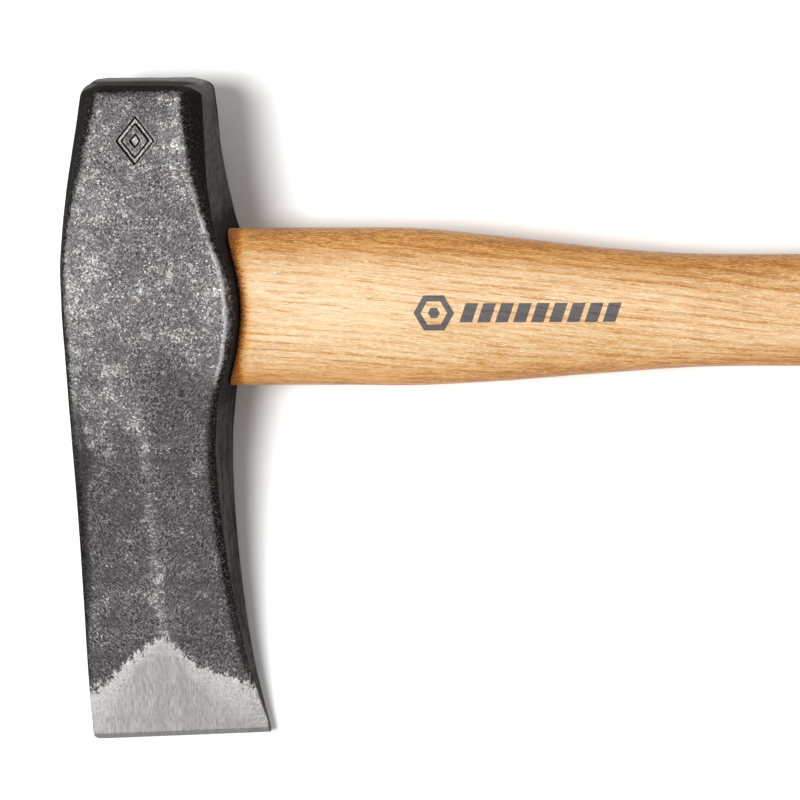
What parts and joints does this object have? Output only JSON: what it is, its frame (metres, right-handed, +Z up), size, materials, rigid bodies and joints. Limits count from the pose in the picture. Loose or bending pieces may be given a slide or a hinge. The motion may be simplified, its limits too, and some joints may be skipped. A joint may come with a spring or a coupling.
{
  "type": "splitting maul",
  "caption": "Splitting maul: forged wedge-shaped steel head with a flat poll on a long oval wooden handle, lying on its side.",
  "frame": {"origin": "on the floor, under the middle of the maul's box as it lies on its side", "axes": "+X along the handle from the head to the grip, +Y toward the poll, +Z up, through the thickness of the head"},
  "size_m": [0.8006, 0.2166, 0.0565],
  "materials": {
    "forged_steel": "dark forging scale, worn pale on the cheeks, with a bright ground bevel",
    "hickory": "satin lacquer over straight grain",
    "wedge_wood": "raw sawn end grain",
    "ring_steel": "bright drawn steel, hammered rim"
  },
  "bodies": {
    "root": {"head": "forged_steel", "handle": "hickory", "wooden_wedge": "wedge_wood", "steel_ring_wedge": "ring_steel"}
  },
  "joints": []
}
